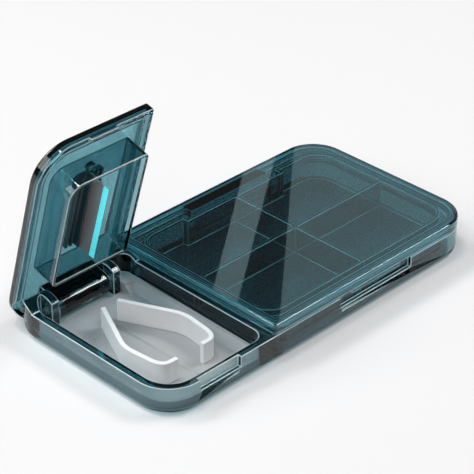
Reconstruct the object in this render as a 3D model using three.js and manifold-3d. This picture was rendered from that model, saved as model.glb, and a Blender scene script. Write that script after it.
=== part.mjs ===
// Pocket pill splitter with a storage box, in millimetres, +Z up.
// X runs along the length with the cutter at the -X end, -Y is the front with the thumb notches,
// and +Y is the hinge side. The cutter lid is stored open and the storage lid is stored closed.
import * as THREE from 'three';
import { mergeVertices } from 'three/addons/utils/BufferGeometryUtils.js';
import Module from 'manifold-3d';

const wasm = await Module();
wasm.setup();

// Whole case
const CASE_LENGTH = 120;
const CASE_WIDTH = 62.4;
const CORNER_RADIUS = 10.5;
const BASE_HEIGHT = 8.2;
const LID_HEIGHT = 3.3;
const SPLIT_X = 38.3;
const SPLIT_GAP = 0.4;
const SEAM_GAP = 0.2;
const FREE_GAP = 0.3;
const JOIN_OVERLAP = 0.05;

// Base shell
const SHELL_WALL = 2.4;
const SHELL_FLOOR = 0.8;
const BOTTOM_ROUND = 2;
const SECTION_WALL_LEFT = 1.3;
const SECTION_WALL_RIGHT = 2.5;
const INNER_CORNER = 4;
const BACK_WALL = 1.6;

// Hinges
// The cutter hinge is open to the bay, and a wall stands in front of the storage hinge.
const CUTTER_HINGE = { inset: 6.8, barrel: 3.2, spine: 5.4, width: 18.6, open: 73.6, wall: 0 };
const STORAGE_HINGE = { inset: 3, barrel: 2.2, spine: 3.9, width: 31, open: 95, wall: 1.2 };
const BARREL_SIDE_GAP = 0.4;
const PIN_SUPPORT = 2.6;
const PIN_RADIUS = 0.9;
const PIN_RUNNING_GAP = 0.08;
const PIN_DEPTH_BASE = 2.1;
const PIN_DEPTH_BARREL = 2.6;
const TABLE_GAP = 0.1;

// Lids
const LID_PLATE = 1.4;
const LID_SKIRT = 1.4;
const LID_TOP_ROUND = 0.7;
const LID_SPLIT_CORNER = 0.8;
const LIP_INSET = 2.2;
const LIP_WALL = 0.8;
const LIP_DEPTH = 1.4;
const THUMB_TAB_DROP = 0.7;
const THUMB_TAB_DEPTH = 0.9;

// Thumb notches in the front wall
const NOTCH_DEPTH = 1.2;
const NOTCH_SILL = 5;
const GROOVE_HEIGHT = 0.9;
const GROOVE_DEPTH = 0.5;
const GROOVE_DROP = 0.4;
const GROOVE_END_INSET = 0.8;
const CUTTER_THUMB = { notch: 14.4, notchShift: -0.4, tab: 9.4, tabShift: 1.1 };
const STORAGE_THUMB = { notch: 29, notchShift: -0.6, tab: 19.9, tabShift: -0.9 };

// Pill insert and its two guard walls
const INSERT_FLOOR = 0.5;
const INSERT_BORDER = 2.4;
const INSERT_BORDER_TOP = 1;
const INSERT_SLOPE = 2.5;
const INSERT_SIDE_DROP = { front: 5, back: 4.2 };
const GROOVE_WIDTH = 0.9;
const BLADE_GROOVE = 0.3;
const GUARD_WALL = 1.4;
const GUARD_TOP_GAP = 0.5;
const GUARD_SIDE_GAP = 0.9;
const GUARD_BACK_GAP = 0.8;
const GUARD_SHIFT = -0.25;
const GUARD_BACK_ACROSS = 2.6;
const GUARD_KNEE_ALONG = 17;
const GUARD_KNEE_ROUND = 3;
const GUARD_CORNER = [-1.3, 4];
const GUARD_CORNER_ROUND = 4.4;
const GUARD_END = [4.4, 3.8];

// Blade and its housing, placed with the cutter lid closed
const HOUSING_SIDE_INSET = 5.75;
const HOUSING_FRONT = 8;
const HOUSING_BACK_GAP = 7.9;
const HOUSING_WALL = 1;
const HOUSING_CORNERS = [4.5, 1.6, 1.6, 2];
const HOUSING_FOOT_GAP = 0.7;
const SMALL_RADIUS = 0.6;
const BLADE_THICKNESS = 0.6;
const BLADE_FRONT_GAP = 6.4;
const BLADE_BACK_GAP = 4.7;
const BLADE_BEVEL = 1.7;
const BLADE_EDGE = 0.12;
const CLAMP_RIB = 0.8;
const CLAMP_DEPTH = 2.9;
const CLAMP_OUTER_DEPTH = 1.8;
const CLAMP_GROOVE_DEPTH = 1.2;
const CLIP_SIZE = [2.6, 2.2, 1.8];
const CLIP_CORNER = 0.8;
const CLIP_GAP = 0.6;

// Storage tray
const TRAY_WALL = 1;
const TRAY_FLOOR = 0.8;
const TRAY_FLANGE = 0.9;
const TRAY_LIP_GAP = 0.4;
const TRAY_FRONT_INSET = 6.4;
const TRAY_CORNERS = [5, 6.4, 6.4, 5];
const TRAY_DIVIDER = 1.2;

const top = BASE_HEIGHT + LID_HEIGHT;
const plateUnder = top - LID_PLATE;
const insertFloor = SHELL_FLOOR + INSERT_FLOOR;
const hingeHeight = BASE_HEIGHT / 2;
const sectionMid = SPLIT_X / 2;
const storageMid = (SPLIT_X + CASE_LENGTH) / 2;
const far = 3 * CASE_LENGTH;

// --- Helpers -----------------------------------------------------------------------------

// Rectangle with its own radius at each corner, in the order front left, front right,
// back right, back left.
function roundedRect(x0, x1, y0, y1, radii) {
  const [a, b, c, d] = radii;
  const shape = new THREE.Shape();
  shape.moveTo(x0 + a, y0);
  shape.lineTo(x1 - b, y0);
  if (b) shape.absarc(x1 - b, y0 + b, b, -Math.PI / 2, 0);
  shape.lineTo(x1, y1 - c);
  if (c) shape.absarc(x1 - c, y1 - c, c, 0, Math.PI / 2);
  shape.lineTo(x0 + d, y1);
  if (d) shape.absarc(x0 + d, y1 - d, d, Math.PI / 2, Math.PI);
  shape.lineTo(x0, y0 + a);
  if (a) shape.absarc(x0 + a, y0 + a, a, Math.PI, 1.5 * Math.PI);
  return shape;
}

function toSolid(geometry) {
  const bare = geometry.clone();
  bare.deleteAttribute('normal');
  bare.deleteAttribute('uv');
  const merged = mergeVertices(bare, 1e-5);
  return new wasm.Manifold(new wasm.Mesh({
    numProp: 3,
    vertProperties: new Float32Array(merged.attributes.position.array),
    triVerts: new Uint32Array(merged.index.array),
  }));
}

function slab(shape, z0, z1, arcSteps = 8) {
  const geometry = new THREE.ExtrudeGeometry(shape, {
    depth: z1 - z0,
    bevelEnabled: false,
    curveSegments: arcSteps,
  });
  geometry.translate(0, 0, z0);
  return toSolid(geometry);
}

// Slab whose lower and upper edges are rounded or sloped inwards from the given outline.
function edgedSlab(shape, z0, z1, inset, rise, steps) {
  const geometry = new THREE.ExtrudeGeometry(shape, {
    depth: z1 - z0 - 2 * rise,
    bevelEnabled: true,
    bevelThickness: rise,
    bevelSize: inset,
    bevelOffset: -inset,
    bevelSegments: steps,
    curveSegments: 8,
  });
  geometry.translate(0, 0, z0 + rise);
  return toSolid(geometry);
}

function box(x0, x1, y0, y1, z0, z1) {
  const geometry = new THREE.BoxGeometry(x1 - x0, y1 - y0, z1 - z0);
  geometry.translate((x0 + x1) / 2, (y0 + y1) / 2, (z0 + z1) / 2);
  return toSolid(geometry);
}

// Round bar along X on a hinge's axis.
function hingeRod(hinge, x0, x1, radius, sides = 48) {
  const geometry = new THREE.CylinderGeometry(radius, radius, x1 - x0, sides);
  geometry.rotateZ(Math.PI / 2);
  geometry.translate((x0 + x1) / 2, hinge.y, hingeHeight);
  return toSolid(geometry);
}

// Turns a solid about a hinge's axis. Positive angles open a lid.
function turn(hinge, solid, degrees) {
  return solid
    .translate([0, -hinge.y, -hingeHeight])
    .rotate([-degrees, 0, 0])
    .translate([0, hinge.y, hingeHeight]);
}

// --- Sections and hinges -----------------------------------------------------------------

// The two ends of a width laid about a middle.
function around(mid, width) {
  return [mid - width / 2, mid + width / 2];
}

function layHinge(mid, sizes) {
  const y = CASE_WIDTH - sizes.inset;
  const barrel = around(mid, sizes.width);
  const slot = [barrel[0] - BARREL_SIDE_GAP, barrel[1] + BARREL_SIDE_GAP];
  const block = [slot[0] - PIN_SUPPORT, slot[1] + PIN_SUPPORT];
  const slotFront = y - sizes.barrel - BARREL_SIDE_GAP;
  return { ...sizes, mid, y, spans: { barrel, slot, block }, slotFront };
}

const cutterHinge = layHinge(sectionMid, CUTTER_HINGE);
const storageHinge = layHinge(storageMid, STORAGE_HINGE);
const housing = {
  left: HOUSING_SIDE_INSET,
  right: SPLIT_X - HOUSING_SIDE_INSET,
  front: HOUSING_FRONT,
  back: cutterHinge.slotFront - cutterHinge.wall - HOUSING_BACK_GAP,
};
const bladeFront = housing.front + BLADE_FRONT_GAP;
const bladeBack = housing.back - BLADE_BACK_GAP;
const innerBack = cutterHinge.y - BACK_WALL
  + Math.sqrt(cutterHinge.spine ** 2 - hingeHeight ** 2);

const caseOutline = roundedRect(0, CASE_LENGTH, 0, CASE_WIDTH, Array(4).fill(CORNER_RADIUS));
const cavity = {
  cutter: {
    span: [-1, SPLIT_X + JOIN_OVERLAP],
    left: SHELL_WALL,
    right: SPLIT_X - SECTION_WALL_LEFT,
    radii: [CORNER_RADIUS - SHELL_WALL, INNER_CORNER, INNER_CORNER, CORNER_RADIUS - SHELL_WALL],
    hinge: cutterHinge,
  },
  storage: {
    span: [SPLIT_X, CASE_LENGTH + 1],
    left: SPLIT_X + SECTION_WALL_RIGHT,
    right: CASE_LENGTH - SHELL_WALL,
    radii: [INNER_CORNER, CORNER_RADIUS - SHELL_WALL, CORNER_RADIUS - SHELL_WALL, INNER_CORNER],
    hinge: storageHinge,
  },
};

// Plan of a cavity, drawn in by a margin, with the hinge block left standing at its back.
function cavitySlab(room, margin, z0, z1) {
  const outline = roundedRect(
    room.left + margin,
    room.right - margin,
    SHELL_WALL + margin,
    innerBack - margin,
    room.radii.map((radius) => radius - margin),
  );
  return slab(outline, z0, z1).subtract(hingeBlock(room.hinge, margin));
}

// Block that carries a hinge's pins, grown by a margin.
function hingeBlock(hinge, margin) {
  const [x0, x1] = hinge.spans.block;
  return box(x0 - margin, x1 + margin, hinge.slotFront - hinge.wall - margin, far, -far, far);
}

// --- Base tray ---------------------------------------------------------------------------

function buildBase() {
  const tall = edgedSlab(caseOutline, 0, 4 * BASE_HEIGHT, BOTTOM_ROUND, BOTTOM_ROUND, 4);
  const outer = Object.values(cavity).map(({ span, hinge }) => {
    const front = box(span[0], span[1], -far, hinge.y, -1, BASE_HEIGHT);
    return front.add(hingeRod(hinge, span[0], span[1], hinge.spine));
  });
  let base = tall.intersect(outer[0].add(outer[1]));
  for (const room of Object.values(cavity)) {
    base = base.subtract(cavitySlab(room, 0, SHELL_FLOOR, 3 * BASE_HEIGHT));
    const { hinge } = room;
    const [x0, x1] = hinge.spans.slot;
    base = base.subtract(box(x0, x1, hinge.slotFront, far, SHELL_FLOOR, far));
    const holes = hingeRod(hinge, x0 - PIN_DEPTH_BASE, x1 + PIN_DEPTH_BASE, PIN_RADIUS, 24);
    base = base.subtract(holes);
  }
  const thumbs = [[sectionMid, CUTTER_THUMB], [storageMid, STORAGE_THUMB]];
  for (const [mid, { notch, notchShift }] of thumbs) {
    const [x0, x1] = around(mid + notchShift, notch);
    base = base.subtract(box(x0, x1, -1, NOTCH_DEPTH, NOTCH_SILL, 2 * BASE_HEIGHT));
    const grooveTop = NOTCH_SILL - GROOVE_DROP;
    base = base.subtract(box(
      x0 + GROOVE_END_INSET,
      x1 - GROOVE_END_INSET,
      -1,
      GROOVE_DEPTH,
      grooveTop - GROOVE_HEIGHT,
      grooveTop,
    ));
  }
  return base;
}

// --- Lids --------------------------------------------------------------------------------

// Both lids are drawn closed: a plate with a skirt, a locating lip, a thumb tab at the front
// and a wide hinge barrel at the back.
function buildLid(x0, x1, radii, hinge, thumb) {
  const outline = roundedRect(x0, x1, 0, CASE_WIDTH, radii);
  const skirtBottom = BASE_HEIGHT + SEAM_GAP;
  const block = edgedSlab(outline, top - 4 * LID_HEIGHT, top, LID_TOP_ROUND, LID_TOP_ROUND, 3);
  const insetSlab = (inset, z0, z1) => slab(
    roundedRect(x0 + inset, x1 - inset, inset, CASE_WIDTH - inset,
      radii.map((radius) => Math.max(radius - inset, SMALL_RADIUS))),
    z0,
    z1,
  );
  let lid = block.intersect(box(-far, far, -far, far, skirtBottom, far));
  lid = lid.subtract(insetSlab(LID_SKIRT, 0, plateUnder));

  const lip = insetSlab(LIP_INSET, plateUnder - LIP_DEPTH, plateUnder + JOIN_OVERLAP)
    .subtract(insetSlab(LIP_INSET + LIP_WALL, 0, top));
  lid = lid.add(lip);
  const [t0, t1] = around(hinge.mid + thumb.tabShift, thumb.tab);
  lid = lid.add(box(t0, t1, 0, THUMB_TAB_DEPTH, BASE_HEIGHT - THUMB_TAB_DROP, plateUnder));

  // The lid clears the round spine as it turns, and its back face stands clear of the table.
  lid = lid.subtract(hingeRod(hinge, -1, CASE_LENGTH + 1, hinge.spine + FREE_GAP));
  const tableTop = box(-far, far, -far, far, -far, TABLE_GAP);
  lid = lid.subtract(turn(hinge, tableTop, -hinge.open));

  const [b0, b1] = hinge.spans.barrel;
  const armFront = hinge.y - hinge.barrel;
  const armBack = hinge.y + hinge.barrel;
  lid = lid.add(hingeRod(hinge, b0, b1, hinge.barrel));
  lid = lid.add(box(b0, b1, armFront, armBack, hingeHeight, plateUnder + JOIN_OVERLAP));
  const bore = PIN_RADIUS + PIN_RUNNING_GAP;
  const boreDepth = PIN_DEPTH_BARREL + FREE_GAP;
  lid = lid.subtract(hingeRod(hinge, b0 - 1, b0 + boreDepth, bore, 24));
  lid = lid.subtract(hingeRod(hinge, b1 - boreDepth, b1 + 1, bore, 24));
  return lid;
}

function buildPins(hinge) {
  const { slot, barrel } = hinge.spans;
  const pin = (x0, x1) => hingeRod(hinge, x0, x1, PIN_RADIUS, 24);
  return [
    pin(slot[0] - PIN_DEPTH_BASE, barrel[0] + PIN_DEPTH_BARREL),
    pin(barrel[1] - PIN_DEPTH_BARREL, slot[1] + PIN_DEPTH_BASE),
  ];
}

// --- Pill insert and guard walls ---------------------------------------------------------

// The insert's side by the storage section, which climbs towards the hinge.
function insertSide(start) {
  const climb = INSERT_SIDE_DROP.front - INSERT_SIDE_DROP.back;
  const tilt = Math.atan2(climb, cutterHinge.slotFront - SHELL_WALL) * 180 / Math.PI;
  const above = box(-far, far, -far, far, 0, far)
    .rotate([tilt, 0, 0])
    .translate([0, SHELL_WALL, BASE_HEIGHT - INSERT_SIDE_DROP.front]);
  return cavitySlab(cavity.cutter, FREE_GAP, SHELL_FLOOR, BASE_HEIGHT)
    .intersect(box(start, far, -far, far, -far, far))
    .subtract(above);
}

function buildInsert() {
  const plate = cavitySlab(cavity.cutter, FREE_GAP, SHELL_FLOOR, SHELL_FLOOR + INSERT_BORDER);
  const edge = FREE_GAP + INSERT_BORDER_TOP;
  const rise = INSERT_BORDER - INSERT_FLOOR;
  const dishOutline = roundedRect(
    cavity.cutter.left + edge,
    cavity.cutter.right - edge,
    SHELL_WALL + edge,
    cutterHinge.slotFront - cutterHinge.wall - edge,
    cavity.cutter.radii.map((radius) => Math.max(radius - edge, INSERT_SLOPE + FREE_GAP)),
  );
  const dish = edgedSlab(dishOutline, insertFloor, insertFloor + 4 * BASE_HEIGHT, INSERT_SLOPE, rise, 1);
  const groove = box(
    sectionMid - GROOVE_WIDTH / 2,
    sectionMid + GROOVE_WIDTH / 2,
    housing.front,
    housing.back,
    insertFloor - BLADE_GROOVE,
    BASE_HEIGHT,
  );
  const [x0, x1] = cutterHinge.spans.block;
  const start = x1 + FREE_GAP;
  const atHinge = box(x0 - FREE_GAP, start, cutterHinge.slotFront - 2 * INSERT_SLOPE, far, insertFloor, far);
  return plate.add(insertSide(start)).subtract(dish).subtract(atHinge).subtract(groove);
}

// Points of a curve that rounds the turn at a corner, starting a given way before it.
function roundedTurn(before, corner, after, reach) {
  const towards = (target) => corner.clone().add(
    target.clone().sub(corner).setLength(Math.min(reach, 0.5 * target.distanceTo(corner))),
  );
  return new THREE.QuadraticBezierCurve(towards(before), corner, towards(after)).getPoints(8);
}

// One guard wall follows a bowed line from the narrow back gap to the wide front gap, inside
// the walls of the blade housing.
function buildGuard(side) {
  const kneeAcross = sectionMid - housing.left - HOUSING_WALL - GUARD_SIDE_GAP - GUARD_WALL / 2;
  const at = (across, along) => new THREE.Vector2(sectionMid + GUARD_SHIFT + side * across, along);
  const back = at(GUARD_BACK_ACROSS, housing.back - HOUSING_WALL - GUARD_BACK_GAP);
  const knee = at(kneeAcross, housing.front + GUARD_KNEE_ALONG);
  const corner = at(kneeAcross + GUARD_CORNER[0], housing.front + GUARD_CORNER[1]);
  const end = at(GUARD_END[0], housing.front + GUARD_END[1]);
  const line = [
    back,
    ...roundedTurn(back, knee, corner, GUARD_KNEE_ROUND),
    ...roundedTurn(knee, corner, end, GUARD_CORNER_ROUND),
    end,
  ];
  const left = [];
  const right = [];
  line.forEach((point, i) => {
    const before = line[Math.max(i - 1, 0)];
    const after = line[Math.min(i + 1, line.length - 1)];
    const along = after.clone().sub(before).normalize();
    const across = new THREE.Vector2(-along.y, along.x).multiplyScalar(GUARD_WALL / 2);
    left.push(point.clone().add(across));
    right.push(point.clone().sub(across));
  });
  const outline = new THREE.Shape([...left, ...right.reverse()]);
  return slab(outline, insertFloor, plateUnder - CLAMP_OUTER_DEPTH - GUARD_TOP_GAP);
}

// --- Blade group, drawn with the lid closed ----------------------------------------------

const housingFoot = insertFloor + HOUSING_FOOT_GAP;

function buildHousing() {
  const wall = (inset, z0) => slab(roundedRect(
    housing.left + inset,
    housing.right - inset,
    housing.front + inset,
    housing.back - inset,
    HOUSING_CORNERS.map((radius) => Math.max(radius - inset, SMALL_RADIUS)),
  ), z0, plateUnder);
  return wall(0, housingFoot).subtract(wall(HOUSING_WALL, housingFoot - 1));
}

function buildBlade() {
  const half = BLADE_THICKNESS / 2;
  const edge = insertFloor + FREE_GAP;
  const profile = new THREE.Shape([
    new THREE.Vector2(-half, plateUnder),
    new THREE.Vector2(-half, edge + BLADE_BEVEL),
    new THREE.Vector2(-BLADE_EDGE / 2, edge),
    new THREE.Vector2(BLADE_EDGE / 2, edge),
    new THREE.Vector2(half, edge + BLADE_BEVEL),
    new THREE.Vector2(half, plateUnder),
  ]);
  const geometry = new THREE.ExtrudeGeometry(profile, {
    depth: bladeBack - bladeFront,
    bevelEnabled: false,
  });
  geometry.rotateX(Math.PI / 2);
  geometry.translate(sectionMid, bladeBack, 0);
  return toSolid(geometry);
}

// Bar that grips one flank of the blade, with a tall rib at the blade and two low ones beside it.
function buildClamp(side) {
  const near = BLADE_THICKNESS / 2;
  const depths = [CLAMP_DEPTH, CLAMP_GROOVE_DEPTH, CLAMP_OUTER_DEPTH, CLAMP_GROOVE_DEPTH,
    CLAMP_OUTER_DEPTH];
  const outline = [new THREE.Vector2(side * near, plateUnder)];
  depths.forEach((depth, i) => {
    const inner = side * (near + i * CLAMP_RIB);
    const outer = side * (near + (i + 1) * CLAMP_RIB);
    outline.push(new THREE.Vector2(inner, plateUnder - depth));
    outline.push(new THREE.Vector2(outer, plateUnder - depth));
  });
  outline.push(new THREE.Vector2(side * (near + depths.length * CLAMP_RIB), plateUnder));
  const geometry = new THREE.ExtrudeGeometry(new THREE.Shape(outline), {
    depth: bladeBack - bladeFront,
    bevelEnabled: false,
  });
  geometry.rotateX(Math.PI / 2);
  geometry.translate(sectionMid, bladeBack, 0);
  return toSolid(geometry);
}

function buildClip() {
  const [wide, long, deep] = CLIP_SIZE;
  const back = bladeFront - CLIP_GAP;
  const corners = Array(4).fill(CLIP_CORNER);
  return slab(
    roundedRect(sectionMid - wide / 2, sectionMid + wide / 2, back - long, back, corners),
    plateUnder - deep,
    plateUnder,
    3,
  );
}

// --- Storage tray ------------------------------------------------------------------------

function buildTray() {
  const trayTop = plateUnder - FREE_GAP;
  const sideInset = SPLIT_GAP / 2 + LIP_INSET + LIP_WALL + TRAY_LIP_GAP + TRAY_WALL;
  const rounded = (grow) => roundedRect(
    SPLIT_X + sideInset - grow,
    CASE_LENGTH - sideInset + grow,
    TRAY_FRONT_INSET - grow,
    innerBack - FREE_GAP - TRAY_WALL + grow,
    TRAY_CORNERS.map((radius) => radius + grow),
  );
  const bowl = (grow, z0, z1) => slab(rounded(grow), z0, z1)
    .subtract(hingeBlock(storageHinge, FREE_GAP + TRAY_WALL - grow));
  const flangeTop = BASE_HEIGHT - FREE_GAP;
  const flange = cavitySlab(cavity.storage, FREE_GAP, flangeTop - TRAY_FLANGE, flangeTop);
  const half = TRAY_DIVIDER / 2;
  const middle = CASE_WIDTH / 2;
  const walls = box(storageMid - half, storageMid + half, -far, far, -far, far)
    .add(box(-far, far, middle - half, middle + half, -far, far));
  const rooms = bowl(0, SHELL_FLOOR + TRAY_FLOOR, trayTop + 1).subtract(walls);
  return bowl(TRAY_WALL, SHELL_FLOOR, trayTop).add(flange).subtract(rooms);
}

// --- Assembly ----------------------------------------------------------------------------

const clearTeal = { color: 0x2f7d88, roughness: 0.08, transparent: true, opacity: 0.42 };
const greyInsert = { color: 0xb9bdc2, roughness: 0.45 };
const whiteGuard = { color: 0xe9eaee, roughness: 0.4 };
const steel = { color: 0x8d8583, roughness: 0.25, metalness: 1 };
const darkGrip = { color: 0x16282d, roughness: 0.4 };

const model = new THREE.Group();
model.name = 'pill_splitter';

function place(name, solid, look) {
  const mesh = solid.getMesh();
  const geometry = new THREE.BufferGeometry();
  geometry.setAttribute('position', new THREE.BufferAttribute(mesh.vertProperties, 3));
  geometry.setIndex(new THREE.BufferAttribute(mesh.triVerts, 1));
  geometry.translate(-CASE_LENGTH / 2, -CASE_WIDTH / 2, 0);
  geometry.computeVertexNormals();
  const item = new THREE.Mesh(geometry, new THREE.MeshStandardMaterial(look));
  item.name = name;
  model.add(item);
}

place('base_shell', buildBase(), clearTeal);
place('storage_tray', buildTray(), clearTeal);
place('pill_insert', buildInsert(), greyInsert);
place('pill_guard_left', buildGuard(-1), whiteGuard);
place('pill_guard_right', buildGuard(1), whiteGuard);

const cutterRadii = [CORNER_RADIUS, LID_SPLIT_CORNER, LID_SPLIT_CORNER, CORNER_RADIUS];
const storageRadii = [LID_SPLIT_CORNER, CORNER_RADIUS, CORNER_RADIUS, LID_SPLIT_CORNER];
const cutterEnd = SPLIT_X - SPLIT_GAP / 2;
const storageStart = SPLIT_X + SPLIT_GAP / 2;
const cutterLid = buildLid(0, cutterEnd, cutterRadii, cutterHinge, CUTTER_THUMB);
const opened = (solid) => turn(cutterHinge, solid, cutterHinge.open);
place('cutter_lid', opened(cutterLid), clearTeal);
place('storage_lid',
  buildLid(storageStart, CASE_LENGTH, storageRadii, storageHinge, STORAGE_THUMB), clearTeal);
place('blade_housing', opened(buildHousing()), clearTeal);
place('blade', opened(buildBlade()), steel);
place('blade_clamp_left', opened(buildClamp(-1)), darkGrip);
place('blade_clamp_right', opened(buildClamp(1)), darkGrip);
place('blade_clip', opened(buildClip()), darkGrip);

const pinSets = { cutter: buildPins(cutterHinge), storage: buildPins(storageHinge) };
for (const [section, pins] of Object.entries(pinSets)) {
  pins.forEach((pin, i) => place(`${section}_hinge_pin_${i ? 'right' : 'left'}`, pin, steel));
}

export default model;
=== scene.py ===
"""Looks of a pocket pill splitter with a storage box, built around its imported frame."""
import math

import bpy
from mathutils import Matrix, Vector

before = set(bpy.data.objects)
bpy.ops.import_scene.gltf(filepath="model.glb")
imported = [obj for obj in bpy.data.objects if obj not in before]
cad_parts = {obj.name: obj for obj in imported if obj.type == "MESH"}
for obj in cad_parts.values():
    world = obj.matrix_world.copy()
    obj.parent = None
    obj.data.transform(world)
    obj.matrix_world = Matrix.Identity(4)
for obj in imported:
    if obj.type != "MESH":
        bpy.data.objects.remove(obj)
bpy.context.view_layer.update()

# The named sizes and places are in millimetres, and the named angles in degrees.
MM = 0.001
scene = bpy.context.scene

# The cutter lid stands open at rest, so the blade's edge faces forwards and a little down. The
# ground bevel is the last stretch of the blade that way.
LID_OPEN = 73.6
BLADE_DOWN = Vector((0.0, -math.sin(math.radians(LID_OPEN)), -math.cos(math.radians(LID_OPEN))))
GROUND_BEVEL = 1.7
BEVEL_BLEND = 0.25

# What every piece's modifiers share. The air gap keeps nested pieces from sharing a face.
MERGE_REACH = 0.001
FLAT_ANGLE = 1
EDGE_ANGLE = 32
EDGE_STEPS = 3
AIR_GAP = 0.03

# Each clear finish: what a metre of it absorbs of red, green and blue, the share of lamp light
# that each surface lets through, and how much of its rounded edges is painted light teal as a
# painted highlight.
CLEAR = {
    "shell": ((330, 200, 175), 0.65, 0.5),
    "cutter_lid": ((1100, 600, 520), 0.9, 0.4),
    "storage_lid": ((850, 430, 370), 0.8, 0.4),
    "housing": ((1050, 600, 520), 0.9, 0.4),
    "tray": ((1000, 700, 640), 0.6, 0.5),
    "clip": ((1300, 620, 540), 0.9, 0.2),
}
CLEAR_TINT = (0.95, 0.97, 0.97)
# Light teal painted on the rounded edges of the clear pieces: a painted highlight that makes them
# read as bright lines.
EDGE_HIGHLIGHT_TINT = (0.7, 0.9, 0.93)

CAMERA_AZIMUTH = -45.463
CAMERA_ELEVATION = 32.025
CAMERA_ROLL = 0.416
CAMERA_PLACE = (-308.828, -299.690, 284.537)
LENS = 140.42
SENSOR_WIDTH = 36

FLOOR_SIDE = 5000
FLOOR_DROP = 0.02

# The flat lid mirrors this place, a metre behind the case, into the camera.
GLARE_CENTRE = Vector((604, 595, 530))
GLARE_SIDEWAYS = Vector((0.701, -0.713, 0.0))
GLARE_TINT = (0.75, 0.97, 1.0)

LIGHT_BOUNCES = 24


# --- Shader building ------------------------------------------------------------------------

class Wire:
    """A shader socket. Sums and products of wires add Math nodes."""

    def __init__(self, tree, socket):
        self.tree = tree
        self.socket = socket

    def math(self, operation, *values):
        node = self.tree.nodes.new("ShaderNodeMath")
        node.operation = operation
        for socket, value in zip(node.inputs, values):
            if isinstance(value, Wire):
                self.tree.links.new(value.socket, socket)
            else:
                socket.default_value = value
        return Wire(self.tree, node.outputs[0])

    def __add__(self, other):
        return self.math("ADD", self, other)

    def __sub__(self, other):
        return self.math("SUBTRACT", self, other)

    def __rsub__(self, other):
        return self.math("SUBTRACT", other, self)

    def __mul__(self, other):
        return self.math("MULTIPLY", self, other)

    __radd__ = __add__
    __rmul__ = __mul__

    def clamp(self):
        return self.math("MINIMUM", self.math("MAXIMUM", self, 0.0), 1.0)


class Finish:
    """A node material with one Principled shader."""

    def __init__(self, name, **sockets):
        self.material = bpy.data.materials.new(name)
        self.material.use_nodes = True
        self.tree = self.material.node_tree
        self.tree.nodes.clear()
        self.output = self.tree.nodes.new("ShaderNodeOutputMaterial")
        self.shader = self.tree.nodes.new("ShaderNodeBsdfPrincipled")
        self.tree.links.new(self.shader.outputs[0], self.output.inputs["Surface"])
        for socket_name, value in sockets.items():
            self.feed(socket_name.replace("_", " "), value)

    def node(self, kind, settings=None, inputs=None, output=0):
        """Adds a node, sets its settings first and then its sockets, and returns one output."""
        node = self.tree.nodes.new("ShaderNode" + kind)
        for key, value in (settings or {}).items():
            setattr(node, key, value)
        for key, value in (inputs or {}).items():
            self.plug(node.inputs[key], value)
        return Wire(self.tree, node.outputs[output])

    def plug(self, socket, value):
        if isinstance(value, Wire):
            self.tree.links.new(value.socket, socket)
        else:
            socket.default_value = value

    def feed(self, socket_name, value):
        self.plug(self.shader.inputs[socket_name], value)

    def place(self):
        """Where a point lies on its own piece, so that patterns move with the piece."""
        return self.node("TexCoord", output="Object")

    def noise(self, scale, detail, place=None):
        return self.node("TexNoise", inputs={
            "Vector": place or self.place(),
            "Scale": scale,
            "Detail": detail,
        })

    def blend(self, amount, first, second):
        """Mixes two colours, each plain or wired, by a wire."""
        first, second = (
            colour if isinstance(colour, Wire) else (*colour, 1) for colour in (first, second)
        )
        return self.node("Mix", {"data_type": "RGBA"}, {0: amount, 6: first, 7: second}, output=2)

    def bump(self, height, strength, distance):
        self.feed("Normal", self.node("Bump", inputs={
            "Height": height,
            "Strength": strength,
            "Distance": distance,
        }))


# --- Finishes -------------------------------------------------------------------------------

def shade(colour, share):
    return tuple(share * part for part in colour)


def clear_plastic(name, per_metre, lamps, highlight_share=0.0):
    """Clear tinted plastic: its colour comes from the thickness that light passes.

    lamps is the share of lamp light that gets through each surface, and the last argument the
    share of the surface painted a light teal, a painted highlight that makes the rounded edges
    read as bright lines.
    """
    rough = 0.01
    finish = Finish(name, Roughness=rough, IOR=1.58, Transmission_Weight=1.0)
    cloud = finish.noise(60.0, 2.0)
    finish.feed("Base Color", finish.blend(cloud, CLEAR_TINT, shade(CLEAR_TINT, 0.96)))
    finish.feed("Roughness", rough + 0.01 * finish.noise(420.0, 4.0))
    body = Wire(finish.tree, finish.shader.outputs[0])
    if highlight_share:
        # A light teal diffuse shader mixed into the surface: a painted highlight.
        painted_highlight = finish.node("BsdfDiffuse", inputs={"Color": (*EDGE_HIGHLIGHT_TINT, 1)})
        body = finish.node("MixShader", inputs={0: highlight_share + 0.4 * highlight_share * cloud, 1: body, 2: painted_highlight})
    lamp_way = finish.node("BsdfTransparent", inputs={"Color": (lamps, lamps, lamps, 1)})
    shadow = finish.node("LightPath", output="Is Shadow Ray")
    both = finish.node("MixShader", inputs={0: shadow, 1: body, 2: lamp_way})
    finish.plug(finish.output.inputs["Surface"], both)
    strongest = max(per_metre)
    passed = tuple(1 - value / strongest for value in per_metre)
    absorb = finish.node("VolumeAbsorption", inputs={"Color": (*passed, 1), "Density": strongest})
    finish.plug(finish.output.inputs["Volume"], absorb)
    return finish.material


def satin_plastic(name, colour, rough):
    """Moulded opaque plastic with a fine spark texture."""
    finish = Finish(name, IOR=1.46, Coat_Weight=0.15, Coat_Roughness=0.25)
    cloud = finish.noise(35.0, 3.0)
    finish.feed("Base Color", finish.blend(cloud, colour, shade(colour, 0.93)))
    fine = finish.noise(2600.0, 2.0)
    finish.feed("Roughness", rough + 0.08 * cloud + 0.05 * fine)
    finish.bump(fine, 0.04, 0.05 * MM)
    return finish.material


def ground_steel(name, colour, rough):
    """Steel with fine turning lines."""
    finish = Finish(name, Metallic=1.0)
    lines = finish.node("Mapping", inputs={"Vector": finish.place(), "Scale": (1.0, 60.0, 1.0)})
    streak = finish.noise(160.0, 3.0, lines)
    finish.feed("Base Color", finish.blend(streak, colour, shade(colour, 0.72)))
    finish.feed("Roughness", rough + 0.14 * streak)
    finish.bump(streak, 0.08, 0.04 * MM)
    return finish.material


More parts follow.
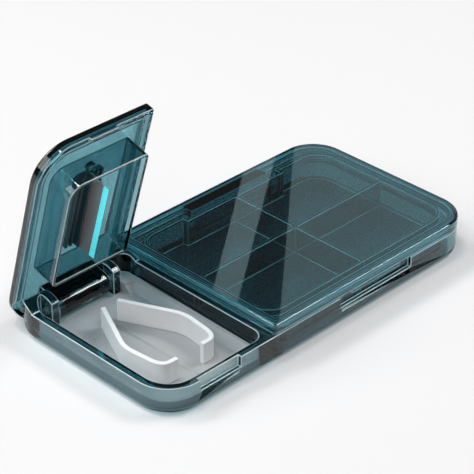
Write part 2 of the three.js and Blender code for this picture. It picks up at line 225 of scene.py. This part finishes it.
def ground_blade(name):
    """Brownish steel whose ground cutting edge is polished and painted with a highlight: bright
    cyan with a glow.
    """
    finish = Finish(name, Metallic=0.75, Emission_Strength=0.8)
    place = finish.place()
    lines = finish.node("Mapping", inputs={"Vector": place, "Scale": (1.0, 1.0, 40.0)})
    streak = finish.noise(170.0, 3.0, lines)
    towards_edge = finish.node("VectorMath", {"operation": "DOT_PRODUCT"},
                               {0: place, 1: BLADE_DOWN}, output="Value")
    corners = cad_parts["blade"].data.vertices
    bevel_start = max(corner.co.dot(BLADE_DOWN) for corner in corners) - GROUND_BEVEL * MM
    edge = ((towards_edge - bevel_start) * (1 / (BEVEL_BLEND * MM))).clamp()
    flank = finish.blend(streak, (0.62, 0.48, 0.47), (0.45, 0.35, 0.35))
    # The ground bevel's bright cyan colour is a painted highlight, and its emission a painted
    # glow.
    finish.feed("Base Color", finish.blend(edge, flank, (0.35, 0.9, 0.93)))
    finish.feed("Roughness", 0.42 + 0.12 * streak - 0.2 * edge)
    finish.feed("Emission Color", finish.blend(edge, (0, 0, 0), (0.06, 0.62, 0.68)))
    return finish.material


finishes = {
    "insert": satin_plastic("grey_insert", (0.38, 0.385, 0.395), 0.42),
    "guard": satin_plastic("white_guard", (0.78, 0.78, 0.79), 0.36),
    "grip": satin_plastic("dark_grip", (0.02, 0.05, 0.06), 0.22),
    "blade": ground_blade("blade_steel"),
    "pin": ground_steel("pin_steel", (0.6, 0.61, 0.62), 0.3),
}
edge_highlight_finishes = {}
for clear_name, (per_metre, lamps, highlight_share) in CLEAR.items():
    material_name = "clear_teal_" + clear_name
    finishes[clear_name] = clear_plastic(material_name, per_metre, lamps)
    # Each clear finish also gets a copy that carries the painted edge highlight.
    edge_highlight_finishes[clear_name] = clear_plastic(material_name + "_edge", per_metre, lamps, highlight_share)


# --- Pieces ---------------------------------------------------------------------------------

def dress(node, finish, edge=0.0, gap=0.0):
    """Gives a frame node its finish, and rounds its edges and shrinks it by so many mm."""
    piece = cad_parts[node]
    piece.data.materials.clear()
    piece.data.materials.append(finishes[finish])
    painted_highlight = edge_highlight_finishes.get(finish)
    if painted_highlight:
        piece.data.materials.append(painted_highlight)
    for face in piece.data.polygons:
        face.use_smooth = True
    weld = piece.modifiers.new("merge", "WELD")
    weld.merge_threshold = MERGE_REACH * MM
    plain = piece.modifiers.new("flat_faces", "DECIMATE")
    plain.decimate_type = "DISSOLVE"
    plain.angle_limit = math.radians(FLAT_ANGLE)
    if gap:
        shell = piece.modifiers.new("air_gap", "DISPLACE")
        shell.strength = -gap * MM
        shell.mid_level = 0.0
    if edge:
        soft = piece.modifiers.new("soft_edges", "BEVEL")
        soft.width = edge * MM
        soft.segments = EDGE_STEPS
        soft.limit_method = "ANGLE"
        soft.angle_limit = math.radians(EDGE_ANGLE)
        soft.use_clamp_overlap = False
        # The rounded edges of the clear pieces take the copy with the painted highlight.
        soft.material = 1 if painted_highlight else -1
    even = piece.modifiers.new("even_shading", "WEIGHTED_NORMAL")
    even.weight = 100


dress("base_shell", "shell", edge=0.2)
dress("cutter_lid", "cutter_lid", edge=0.2)
dress("storage_lid", "storage_lid", edge=0.2)
dress("storage_tray", "tray", edge=0.2, gap=AIR_GAP)
dress("blade_housing", "housing", edge=0.25, gap=AIR_GAP)
dress("pill_insert", "insert", edge=0.2, gap=AIR_GAP)
dress("pill_guard_left", "guard", edge=0.25)
dress("pill_guard_right", "guard", edge=0.25)
dress("blade", "blade")
dress("blade_clamp_left", "grip", edge=0.12)
dress("blade_clamp_right", "grip", edge=0.12)
dress("blade_clip", "clip", edge=0.2)
for section in ("cutter", "storage"):
    for side in ("left", "right"):
        dress(f"{section}_hinge_pin_{side}", "pin", edge=0.08)


# --- Camera, floor and light ----------------------------------------------------------------

def add_camera():
    azimuth, elevation, roll = map(math.radians, (CAMERA_AZIMUTH, CAMERA_ELEVATION, CAMERA_ROLL))
    back = Vector((
        math.sin(azimuth) * math.cos(elevation),
        -math.cos(azimuth) * math.cos(elevation),
        math.sin(elevation),
    ))
    level = Vector((math.cos(azimuth), math.sin(azimuth), 0))
    rise = back.cross(level)
    right = math.cos(roll) * level + math.sin(roll) * rise
    up = math.cos(roll) * rise - math.sin(roll) * level
    camera = bpy.data.objects.new("camera", bpy.data.cameras.new("camera"))
    camera.data.sensor_width = SENSOR_WIDTH
    camera.data.lens = LENS
    camera.data.clip_start = 0.01
    camera.data.clip_end = 20
    scene.collection.objects.link(camera)
    turn = Matrix((right, up, back)).transposed().to_4x4()
    camera.matrix_world = Matrix.Translation(Vector(CAMERA_PLACE) * MM) @ turn
    scene.camera = camera


def add_floor():
    half = FLOOR_SIDE * MM / 2
    mesh = bpy.data.meshes.new("floor")
    corners = [(-half, -half, 0), (half, -half, 0), (half, half, 0), (-half, half, 0)]
    mesh.from_pydata(corners, [], [(0, 1, 2, 3)])
    finish = Finish("floor_white", Roughness=0.6)
    cloud = finish.noise(3.0, 3.0)
    finish.feed("Base Color", finish.blend(cloud, (0.67, 0.665, 0.67), (0.655, 0.65, 0.655)))
    mesh.materials.append(finish.material)
    floor = bpy.data.objects.new("floor", mesh)
    floor.location.z = -FLOOR_DROP * MM
    scene.collection.objects.link(floor)


def softbox(name, place, size, radiance, lean=0.0, tint=(1, 1, 1)):
    """A rectangular studio light, placed in mm, that faces the case and leans by degrees."""
    width, height = Vector(size) * MM
    data = bpy.data.lights.new(name, "AREA")
    data.shape = "RECTANGLE"
    data.size = width
    data.size_y = height
    data.energy = radiance * math.pi * width * height
    data.color = tint
    lamp = bpy.data.objects.new(name, data)
    facing = Vector(place).to_track_quat("Z", "Y").to_matrix()
    turn = facing @ Matrix.Rotation(math.radians(lean), 3, "Z")
    lamp.matrix_world = Matrix.Translation(Vector(place) * MM) @ turn.to_4x4()
    scene.collection.objects.link(lamp)


def add_world():
    world = bpy.data.worlds.new("studio")
    scene.world = world
    world.use_nodes = True
    background = world.node_tree.nodes["Background"]
    background.inputs["Color"].default_value = (0.95, 0.97, 1.0, 1)
    background.inputs["Strength"].default_value = 0.1


add_camera()
add_floor()
add_world()
softbox("key_light", (-890, 460, 670), (700, 700), 3.2)
softbox("top_light", (-160, 180, 1200), (220, 220), 24)
softbox("front_fill", (-750, -550, 850), (800, 800), 2.4)
softbox("front_edge_strip", (614, -280, 740), (500, 280), 13, lean=31)
softbox("side_edge_strip", (-270, 625, 730), (600, 200), 14, lean=-31)
softbox("narrow_glare", GLARE_CENTRE + 2 * GLARE_SIDEWAYS, (22, 500), 0.85,
        lean=-14, tint=GLARE_TINT)
softbox("wide_glare", GLARE_CENTRE + 138 * GLARE_SIDEWAYS, (200, 500), 0.65,
        lean=0.5, tint=GLARE_TINT)
scene.view_settings.view_transform = "Standard"
scene.cycles.max_bounces = LIGHT_BOUNCES
scene.cycles.transmission_bounces = LIGHT_BOUNCES
scene.cycles.transparent_max_bounces = LIGHT_BOUNCES
